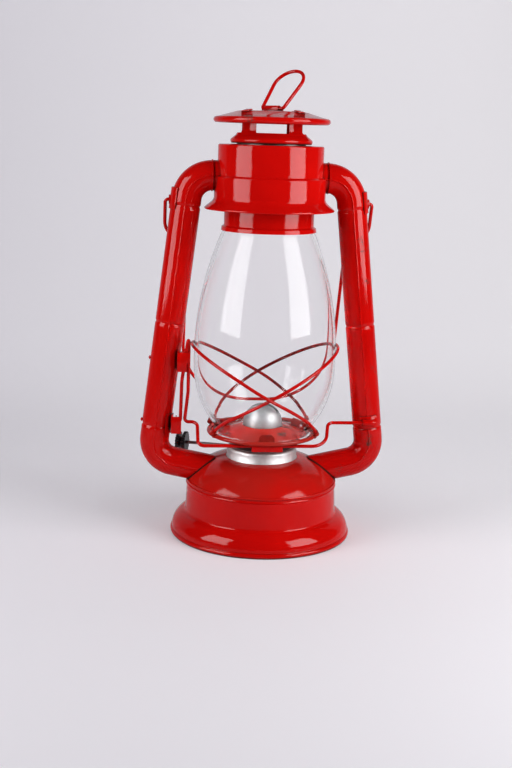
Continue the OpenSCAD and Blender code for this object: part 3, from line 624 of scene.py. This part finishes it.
def makeGuard(name, lift, side):
    turn = guard["endTurn"]
    points = [guardPoint(-turn + 2 * turn * i / 150, lift) for i in range(151)]
    first = points[0] + (guardPoint(-turn, 0) - guardPoint(-turn + 1, 0)).normalized() * guard["endLen"]
    last = points[-1] + (guardPoint(turn, 0) - guardPoint(turn - 1, 0)).normalized() * guard["endLen"]
    line = [(side * p.x, p.y, p.z) for p in [first] + points + [last]]
    return wirePiece(name, line, guard["thick"], 16)


guardLift = guard["thick"] + 0.4  # the left wire passes outside the right one
dress(makeGuard("guardRight", 0, 1), "globe_carrier", "red_enamel", redWire, "guard_wire_right")
dress(makeGuard("guardLeft", guardLift, -1), "globe_carrier", "red_enamel", redWire, "guard_wire_left")

# air tubes: bent tube with a folded seam and pressed creases

tube = {"d": 21.1, "lowX": 80.5, "lowZ": 55.8, "lowBend": 16.7, "topX": 56.6, "topZ": 259.8, "topBend": 18.0,
        "slope": 12.0, "endX": 34.9, "startRun": 45.0, "seamTurn": 4.0, "seamW": 0.75, "seamH": 0.55,
        "creases": (80.5, 155.5, 238.5), "creaseDeep": 0.6, "creaseHalf": 1.5, "support": 1.5,
        "flangeX": 40.6, "flange": 1.055, "jointDark": 0.7, "jointFade": 1.3}


def tubeSection(sides=72):
    # circle with a low rounded seam, angle counted from the front to the left
    radius = tube["d"] / 2
    half = math.degrees(tube["seamW"] / radius)
    seam = [(half * (k - 3) / 3, math.cos(math.pi / 2 * (k - 3) / 3)) for k in range(7)]
    clear = 360 - 2 * half
    plain = [(half + clear * i / sides, 0) for i in range(1, sides)]
    return [(tube["seamTurn"] + a, radius + tube["seamH"] * up) for a, up in seam + plain]


def extrudeRing(step):
    bpy.ops.mesh.extrude_region_move(TRANSFORM_OT_translate={"value": step})


def makeTube(name, side):
    t = tube
    corner = [Vector((t["lowX"] - t["startRun"] * math.cos(math.radians(t["slope"])), 0,
                      t["lowZ"] - t["startRun"] * math.sin(math.radians(t["slope"])))),
              Vector((t["lowX"], 0, t["lowZ"])), Vector((t["topX"], 0, t["topZ"])),
              Vector((t["endX"], 0, t["topZ"]))]
    bends = [t["lowBend"], t["topBend"]]
    section = tubeSection()
    deselect()
    bpy.ops.mesh.primitive_circle_add(vertices=len(section), radius=t["d"] / 2 * mm, fill_type="NOTHING")
    piece = bpy.context.object
    piece.name = name
    along = (corner[1] - corner[0]).normalized()
    up = Vector((0, -1, 0))
    leftward = up.cross(along)
    for vertex, (a, r) in zip(piece.data.vertices, section):
        spot = corner[0] + (up * math.cos(math.radians(a)) + side * leftward * math.sin(math.radians(a))) * r
        vertex.co = spot * mm
    editMode()
    bpy.ops.mesh.select_all(action="SELECT")
    here = corner[0]
    for i in range(1, 4):
        ahead = (corner[i] - here).normalized()
        if i == 3:
            for x, size in ((t["flangeX"] + 0.9, 1), (t["flangeX"] + 0.7, t["flange"]), (t["flangeX"], 1),
                            (t["flangeX"] - 0.2, 1 / t["flange"]), (t["endX"], 1)):
                target = Vector((x, 0, here.z))
                extrudeRing((target - here) * mm)
                here = target
                bpy.ops.transform.resize(value=(1, size, size), center_override=here * mm)
            break
        after = (corner[i + 1] - corner[i]).normalized()
        turn = ahead.angle(after)
        reach = bends[i - 1] * math.tan(turn / 2)
        stop = corner[i] - ahead * reach
        if i == 2:
            for z in t["creases"]:
                spot = here + ahead * ((z - here.z) / ahead.z)
                small = 1 - 2 * t["creaseDeep"] / t["d"]
                for shift, size in ((-1.8, 1), (-1, 1), (0, small), (1, 1 / small), (1.8, 1)):
                    target = spot + ahead * t["creaseHalf"] * shift
                    extrudeRing((target - here) * mm)
                    here = target
                    bpy.ops.transform.resize(value=(size, size, size), center_override=here * mm)
        extrudeRing((stop - ahead * t["support"] - here) * mm)
        extrudeRing(ahead * t["support"] * mm)
        inward = (after - ahead * after.dot(ahead)).normalized()
        centre = stop + inward * bends[i - 1]
        axis = ahead.cross(after).normalized()
        bpy.ops.mesh.spin(steps=14, angle=-turn, center=centre * mm, axis=axis)
        extrudeRing(after * t["support"] * mm)
        here = corner[i] + after * (reach + t["support"])
    bpy.ops.mesh.select_all(action="SELECT")
    bpy.ops.mesh.remove_doubles(threshold=2e-6)
    bpy.ops.mesh.normals_make_consistent(inside=False)
    objectMode()
    if side < 0:
        piece.scale.x = -1
        settle(piece)
        editMode()
        bpy.ops.mesh.select_all(action="SELECT")
        bpy.ops.mesh.normals_make_consistent(inside=False)
        objectMode()
    smoothByAngle(piece, 40)
    return piece


def domeSeam(tree):
    # dark line where a tube enters the dome
    radius, centre = domeArc()
    place = nodeOf(tree, "ShaderNodeTexCoord")
    flat = nodeOf(tree, "ShaderNodeVectorMath", operation="MULTIPLY")
    flat.inputs[1].default_value = (1, 1, 0)
    tree.links.new(place.outputs["Object"], flat.inputs[0])
    outward = nodeOf(tree, "ShaderNodeVectorMath", operation="LENGTH")
    tree.links.new(flat.outputs["Vector"], outward.inputs[0])
    parts = nodeOf(tree, "ShaderNodeSeparateXYZ")
    tree.links.new(place.outputs["Object"], parts.inputs["Vector"])
    spot = nodeOf(tree, "ShaderNodeCombineXYZ")
    tree.links.new(math2(tree, "SUBTRACT", outward.outputs["Value"], centre[0] * mm), spot.inputs["X"])
    tree.links.new(math2(tree, "SUBTRACT", parts.outputs["Z"], centre[1] * mm), spot.inputs["Y"])
    away = nodeOf(tree, "ShaderNodeVectorMath", operation="LENGTH")
    tree.links.new(spot.outputs["Vector"], away.inputs[0])
    clear, dark = (radius + tube["jointFade"]) * mm, (radius + tube["jointDark"]) * mm
    return makeRange(tree, away.outputs["Value"], clear, dark)


tubeRed = enamelMaterial("redEnamelTube", 0.45, 0.85, seamMask=domeSeam)
tubeRedWorn = enamelMaterial("redEnamelTubeWorn", 0.95, 1.0, seamMask=domeSeam)
dress(makeTube("rightTube", 1), "frame", "red_enamel", tubeRedWorn, "right_tube")
dress(makeTube("leftTube", -1), "frame", "red_enamel", tubeRed, "left_tube")
print("tubes made")

# hood

hood = {"low": 236.7, "dripR": 46.0, "bandR": 39.4, "stepUp": 22.8, "drumR": 37.2, "height": 45.0, "sheet": 0.8,
        "holeR": 24.7, "flareH": 9.0, "flareSlope": 40.0, "fillet": 5.0}


def makeHood():
    h = hood
    top = h["low"] + h["height"]
    step = h["low"] + h["stepUp"]
    fall = math.tan(math.radians(h["flareSlope"]))
    centre = (h["bandR"] + h["fillet"], h["low"] + h["flareH"])
    skin = arcPoints(centre, h["fillet"], 180, 270 - h["flareSlope"], 10)
    lining = arcPoints(centre, h["fillet"] + h["sheet"], 270 - h["flareSlope"], 180, 10)
    edge = skin[-1][1] - (h["dripR"] - skin[-1][0]) * fall
    dripIn = h["dripR"] - h["sheet"]
    outer = roundedLine([(h["holeR"], top), (h["drumR"], top), (h["drumR"], step + 0.7),
                         (h["bandR"], step - 0.5), skin[0]], [1.1, 0.6, 0.8], 6)[:-1]
    lip = roundedLine([skin[-1], (h["dripR"], edge), (h["dripR"], h["low"]), (dripIn, h["low"]),
                       (dripIn, edge - 0.3)], [0.5, 0.35, 0.35], 4)[1:]
    inner = lining + [(h["bandR"] - h["sheet"], step - 1), (h["drumR"] - h["sheet"], step + 0.2),
                      (h["drumR"] - h["sheet"], top - 1.2), (h["holeR"], top - h["sheet"])]
    return spunPiece("hood", outer + skin + lip + inner, 160, smoothDeg=42)


dress(makeHood(), "frame", "red_enamel", redSheet, "canopy")

# chimney collar, crown and cap

chimney = {"bellR": 31.91, "lip": 222.1, "lipOut": 2.05, "lipH": 4.5, "bellH": 17.6, "flueR": 24.2,
           "sheet": 0.8, "globeTop": 223.7, "gap": 0.35, "crownZ": 282.5, "crownR": 29.2, "crownTurn": -4.0,
           "postR": 23.6, "windowW": 22.5, "windowUp": 7.2, "windowH": 8.0, "windowRun": 80.0, "capR": 40.9,
           "capBead": 4.4, "capZ": 298.3, "capRise": 4.7, "capFall": 0.6, "plateauR": 24.6}


def makeBell():
    c = chimney
    top, seat = c["lip"] + c["bellH"], c["globeTop"] + c["gap"]
    r, s, high = c["bellR"], c["sheet"], c["lip"] + c["lipH"]

    def lining(z):
        return r - s + c["lipOut"] * (high - z) / c["lipH"]
    outer = roundedLine([(c["flueR"] - s, top), (r, top), (r, high - 0.8), (r + 0.8 * c["lipOut"], high - 1.8),
                         (r + c["lipOut"], c["lip"])], [1.2, 0.8, 0.5], 6)
    inner = [(lining(c["lip"]), c["lip"]), (lining(seat), seat), (r - 4.2, seat), (r - 4.2, seat + s),
             (lining(seat + s), seat + s), (r - s, high), (r - s, top - s), (c["flueR"] - s, top - s)]
    return spunPiece("chimneyBell", outer + inner, 160)


def capSlope():
    c = chimney
    return math.atan2(c["capRise"] - c["capFall"], c["capR"] - c["capBead"] / 2 - c["plateauR"])


def makeCrown():
    c = chimney
    z, r, p, s = c["crownZ"], c["crownR"], c["postR"], c["sheet"]
    capTop = c["capZ"] + c["capBead"] / 2 - 0.2 + c["capRise"]
    top = capTop - c["capFall"] - s - 0.12
    holeR = c["flueR"] + 0.03
    outer = roundedLine([(holeR, z), (r - 1.0, z), (r, z + 2.4), (p + 1.4, z + 5.8), (p, z + 8.4), (p, top)],
                        [1.0, 1.8, 2.0, 2.5], 6)
    inner = [(p - s, top), (p - s, z + 8.4), (p + 0.3, z + 5.6), (r - 1.1, z + 2.5), (r - 1.6, z + s),
             (holeR, z + s)]
    piece = spunPiece("crown", outer + inner, 144)
    mid, run, wide, high = z + c["windowUp"] + c["windowH"] / 2, c["windowRun"], c["windowW"], c["windowH"]
    cutAway(piece, [box("windowX", (0, 0, mid), (run, wide, high), c["crownTurn"]),
                    box("windowY", (0, 0, mid), (wide, run, high), c["crownTurn"])])
    tabs = []
    lift = capTop - c["capFall"] + 0.08 + (c["plateauR"] - p + s) * math.tan(capSlope())
    for k in range(4):
        tab = box("crownTab", (2.75, 0, s / 2), (5.5, 6, s))
        bevelled(tab, 0.25)
        tab.rotation_euler.y = capSlope()
        tab.location = ((p - s) * mm, 0, lift * mm)
        settle(tab)
        tab.rotation_euler.z = math.radians(c["crownTurn"] + 45 + 90 * k)
        settle(tab)
        tabs.append(tab)
    joinInto(piece, tabs)
    smoothByAngle(piece, 38)
    return piece


def makeCap():
    c = chimney
    edge = c["capR"] - c["capBead"] / 2
    rim = c["capZ"] + c["capBead"] / 2 - 0.2
    top = rim + c["capRise"]
    skin = roundedLine([(0, top), (c["plateauR"] - 3, top - 0.4 * c["capFall"]),
                        (c["plateauR"], top - c["capFall"]), (edge, rim)], [6, 5], 8)[:-1]
    bead = arcPoints((edge, c["capZ"]), c["capBead"] / 2, 100, -170, 26)
    under = [(x, z - c["sheet"]) for x, z in skin[::-1]]
    return spunPiece("chimneyCap", skin + bead + under, 160, closed=False, smoothDeg=45)


dress(makeBell(), "chimney", "red_enamel", redSheet, "chimney_collar")
dress(makeCrown(), "chimney", "red_enamel", redWorn, "crown")
dress(makeCap(), "chimney", "red_enamel", redWorn, "chimney_cap")
print("hood and chimney made")

# hood spring: round wire wound by a screw, in two lengths
# the upper one closes up as the globe is lifted, the lower one as the hood is

spring = {"r": 29.0, "d": 1.3, "low": 240.7, "split": 252.55, "high": 280.2, "pitch": 7.9,
          "globeTravel": 21.0, "hoodTravel": 9.0}


def makeSpring(name, low, high):
    s = spring
    start = 2 * math.pi * (low - s["low"]) / s["pitch"]
    turns = (high - low) / s["pitch"]
    deselect()
    spot = Vector((s["r"] * math.cos(start), s["r"] * math.sin(start), low)) * mm
    bpy.ops.mesh.primitive_circle_add(vertices=10, radius=s["d"] / 2 * mm,
                                      rotation=(math.pi / 2, 0, start), location=spot)
    piece = bpy.context.object
    piece.name = name
    settle(piece)
    screw = piece.modifiers.new("wind", "SCREW")
    screw.angle = 2 * math.pi * turns
    screw.screw_offset = (high - low) * mm
    screw.steps = screw.render_steps = round(48 * turns)
    screw.use_merge_vertices = False
    applyModifiers(piece)
    editMode()
    bpy.ops.mesh.select_all(action="DESELECT")
    bpy.ops.mesh.select_non_manifold(extend=False)
    bpy.ops.mesh.fill()
    bpy.ops.mesh.select_all(action="SELECT")
    bpy.ops.mesh.normals_make_consistent(inside=False)
    objectMode()
    smoothByAngle(piece, 45)
    return piece


def closeUp(piece):
    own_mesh(piece)


springTop = dress(makeSpring("hoodSpring", spring["split"], spring["high"]),
                  "frame", "tin_plate", softTin, "hood_spring")
springEnd = dress(makeSpring("hoodSpringEnd", spring["low"], spring["split"]),
                  "globe_carrier", "tin_plate", softTin, "hood_spring")
closeUp(springTop)
closeUp(springEnd)

# wick: woven tape with a frayed top

wick = {"w": 17.0, "t": 3.0, "low": 26.5, "top": 91.5, "turn": -17.0, "fray": 0.6, "frayRate": 2600}


def makeWick():
    w = wick
    piece = box("wickTape", (0, 0, (w["low"] + w["top"]) / 2), (w["w"], w["t"], w["top"] - w["low"]))
    editMode()
    bpy.ops.mesh.select_all(action="SELECT")
    bpy.ops.mesh.subdivide(number_cuts=12)
    objectMode()
    for vertex in piece.data.vertices:
        if vertex.co.z > (w["top"] - 0.1) * mm:
            vertex.co.z -= abs(math.sin(vertex.co.x * w["frayRate"])) * w["fray"] * mm
    piece.rotation_euler.z = math.radians(w["turn"])
    settle(piece)
    bevelled(piece, 0.4, 2, 60)
    smoothByAngle(piece, 50)
    return piece


dress(makeWick(), "wick_strip", "cotton_wick", cotton, "wick")

# sheet pieces that keep their solids, with broken edges

for node in ("lever_bracket", "lever_clip", "right_wire_eye", "left_bail_ear", "right_bail_ear"):
    dress(softCopy(node), "frame", "red_enamel", redWorn, node)
dress(softCopy("ring_bridge"), "chimney", "red_enamel", redWorn, "ring_bridge")
dress(softCopy("plate_strap"), "globe_carrier", "red_enamel", redWorn, "plate_strap")
print("sheet pieces made")

# finish of the solids that stay

finishes = {
    redSheet: ("fount_bottom", "tube_rivets"),
    redPlate: ("globe_plate",),
    redWire: ("lift_wire", "bail", "lift_ring"),
    brightTin: ("filler_cap", "filler_neck"),
    softTin: ("burner_cone", "chimney_tube", "tank_top", "burner_body", "wick_tube", "wick_shaft",
              "star_wheels"),
    darkPlate: ("burner_gallery",),
    darkKnob: ("wick_knob",),
    rubber: ("filler_gasket",),
}
for material, names in finishes.items():
    for name in names:
        nodes[name].data.materials.clear()
        nodes[name].data.materials.append(material)

# stage: pale sweep, floor into backdrop, its paper painted darker to the left as painted shade

# the left colour is the paper in painted shade, the right colour the paler lit paper
stage = {"half": 1.8, "front": -0.7, "curveStart": 0.35, "curveR": 0.6, "curveSteps": 24, "height": 0.8,
         "left": (0.70, 0.68, 0.73, 1), "right": (0.86, 0.84, 0.875, 1), "paleFrom": -0.35, "paleTo": 0.45,
         "glowNear": 0.18, "glowFar": 0.38, "glowFrom": -0.15, "glowTo": 0.55, "mirrored": 0.5}


def makeSweep():
    s = stage
    deselect()
    bpy.ops.mesh.primitive_plane_add(size=mm)
    piece = bpy.context.object
    piece.name = "studioSweep"
    editMode()
    bpy.ops.mesh.merge(type="CENTER")
    bpy.ops.transform.translate(value=(-s["half"], s["front"], 0))
    extrudeRing((0, s["curveStart"] - s["front"], 0))
    curve = arcPoints((0, 0), s["curveR"], -90, 0, s["curveSteps"])
    for (y0, z0), (y1, z1) in zip(curve, curve[1:]):
        extrudeRing((0, y1 - y0, z1 - z0))
    extrudeRing((0, 0, s["height"]))
    bpy.ops.mesh.select_all(action="SELECT")
    extrudeRing((2 * s["half"], 0, 0))
    bpy.ops.mesh.select_all(action="SELECT")
    bpy.ops.mesh.normals_make_consistent(inside=True)
    objectMode()
    smoothByAngle(piece, 60)
    material, tree, shader = startMaterial("paleSweep")
    place = nodeOf(tree, "ShaderNodeTexCoord")
    parts = nodeOf(tree, "ShaderNodeSeparateXYZ")
    tree.links.new(place.outputs["Object"], parts.inputs["Vector"])
    mottle = useGroup(tree, mottleGroup, Slow_Scale=1.2, Fine_Scale=300.0)
    # painted shade: the paper goes from the darker colour on the left to the paler one on the right, with a
    # little random tone
    shadeAcross = makeRange(tree, parts.outputs["X"], s["paleFrom"], s["paleTo"])
    shadeAcross = math2(tree, "ADD", shadeAcross, math2(tree, "MULTIPLY", mottle.outputs["Tone"], 0.1))
    shadedPaper = mixColour(tree, shadeAcross, s["left"], s["right"])
    tree.links.new(shadedPaper, shader.inputs["Base Color"])
    tree.links.new(shadedPaper, shader.inputs["Emission Color"])
    shader.inputs["Roughness"].default_value = 0.75
    path = nodeOf(tree, "ShaderNodeLightPath")
    mirrored = math2(tree, "MULTIPLY", path.outputs["Is Glossy Ray"], s["mirrored"])
    seen = math2(tree, "MAXIMUM", mirrored, path.outputs["Is Transmission Ray"])
    seen = math2(tree, "MAXIMUM", seen, path.outputs["Is Camera Ray"])
    glow = makeRange(tree, parts.outputs["Y"], s["glowFrom"], s["glowTo"], s["glowNear"], s["glowFar"])
    tree.links.new(math2(tree, "MULTIPLY", seen, glow), shader.inputs["Emission Strength"])
    # clear from behind, so that every side can be viewed
    behind = nodeOf(tree, "ShaderNodeNewGeometry").outputs["Backfacing"]
    tree.links.new(makeRange(tree, behind, 0.0, 1.0, 1.0, 0.0), shader.inputs["Alpha"])
    piece.data.materials.append(material)


makeSweep()

# light: two softboxes in a dim room

light = {"turn": 59.0, "far": 0.68, "low": 0.15, "high": 0.8, "wide": 0.46, "behind": 0.01,
         "wattsLeft": 3.5, "wattsRight": 5.3, "room": (0.90, 0.89, 0.92, 1), "fill": 0.18, "mirrored": 0.03,
         "seen": 0.74, "shine": 8.5}
cameraYaw = 5.621


def glossMaterial():
    # the bright face of a softbox, there only for mirrored rays
    material, tree, shader = startMaterial("softboxFace")
    path = nodeOf(tree, "ShaderNodeLightPath")
    shader.inputs["Base Color"].default_value = (0, 0, 0, 1)
    shader.inputs["Emission Color"].default_value = (1, 1, 1, 1)
    shader.inputs["Emission Strength"].default_value = light["shine"]
    tree.links.new(path.outputs["Is Glossy Ray"], shader.inputs["Alpha"])
    return material


softboxFace = glossMaterial()


def makeSoftbox(name, side, watts):
    heading = math.radians(-cameraYaw + 180 + side * light["turn"])
    spot = Vector((-math.sin(heading) * light["far"], math.cos(heading) * light["far"],
                   (light["low"] + light["high"]) / 2))
    lamp = bpy.data.lights.new(name, "AREA")
    lamp.shape = "RECTANGLE"
    lamp.size = light["wide"]
    lamp.size_y = light["high"] - light["low"]
    lamp.energy = watts
    piece = bpy.data.objects.new(name, lamp)
    piece.location = spot
    flat = Vector((0, 0, spot.z)) - spot
    piece.rotation_euler = flat.to_track_quat("-Z", "Y").to_euler()
    bpy.context.scene.collection.objects.link(piece)
    deselect()
    bpy.ops.mesh.primitive_plane_add(size=1)
    face = bpy.context.object
    face.name = name + "Face"
    face.scale = (lamp.size, lamp.size_y, 1)
    face.rotation_euler = piece.rotation_euler
    face.location = spot - flat.normalized() * light["behind"]
    settle(face)
    face.data.materials.append(softboxFace)


def makeRoom():
    # dim for light and mirrored rays, pale where it is seen past the sweep or through glass
    world = bpy.data.worlds.new("room")
    bpy.context.scene.world = world
    world.use_nodes = True
    tree = world.node_tree
    room = tree.nodes["Background"]
    room.inputs["Color"].default_value = light["room"]
    path = nodeOf(tree, "ShaderNodeLightPath")
    level = makeRange(tree, path.outputs["Is Glossy Ray"], 0.0, 1.0, light["fill"], light["mirrored"])
    straight = math2(tree, "LESS_THAN", path.outputs["Glossy Depth"], 0.5)
    through = math2(tree, "MULTIPLY", path.outputs["Is Transmission Ray"], straight)
    seen = math2(tree, "MAXIMUM", path.outputs["Is Camera Ray"], through)
    pale = math2(tree, "MULTIPLY", seen, light["seen"])
    tree.links.new(math2(tree, "MAXIMUM", level, pale), room.inputs["Strength"])


makeSoftbox("softboxRight", 1, light["wattsRight"])
makeSoftbox("softboxLeft", -1, light["wattsLeft"])
makeRoom()

# camera at the viewing angle of the picture

camera = {"place": (-88.85, -845.3, 291.4), "yaw": cameraYaw, "pitch": 12.005, "roll": 1.752,
          "focalPixels": 1192.4, "imageHeight": 768, "sensor": 36.0}


def makeCamera():
    c = camera
    data = bpy.data.cameras.new("view")
    data.sensor_width = c["sensor"]
    data.lens = c["sensor"] * c["focalPixels"] / c["imageHeight"]
    piece = bpy.data.objects.new("view", data)
    turn = (Matrix.Rotation(math.radians(-c["yaw"]), 4, "Z")
            @ Matrix.Rotation(math.radians(90 - c["pitch"]), 4, "X")
            @ Matrix.Rotation(math.radians(c["roll"]), 4, "Z"))
    piece.matrix_world = Matrix.Translation([v * mm for v in c["place"]]) @ turn
    bpy.context.scene.collection.objects.link(piece)
    bpy.context.scene.camera = piece


makeCamera()
bpy.context.scene.view_settings.view_transform = "Standard"
print("stage, light and camera made")
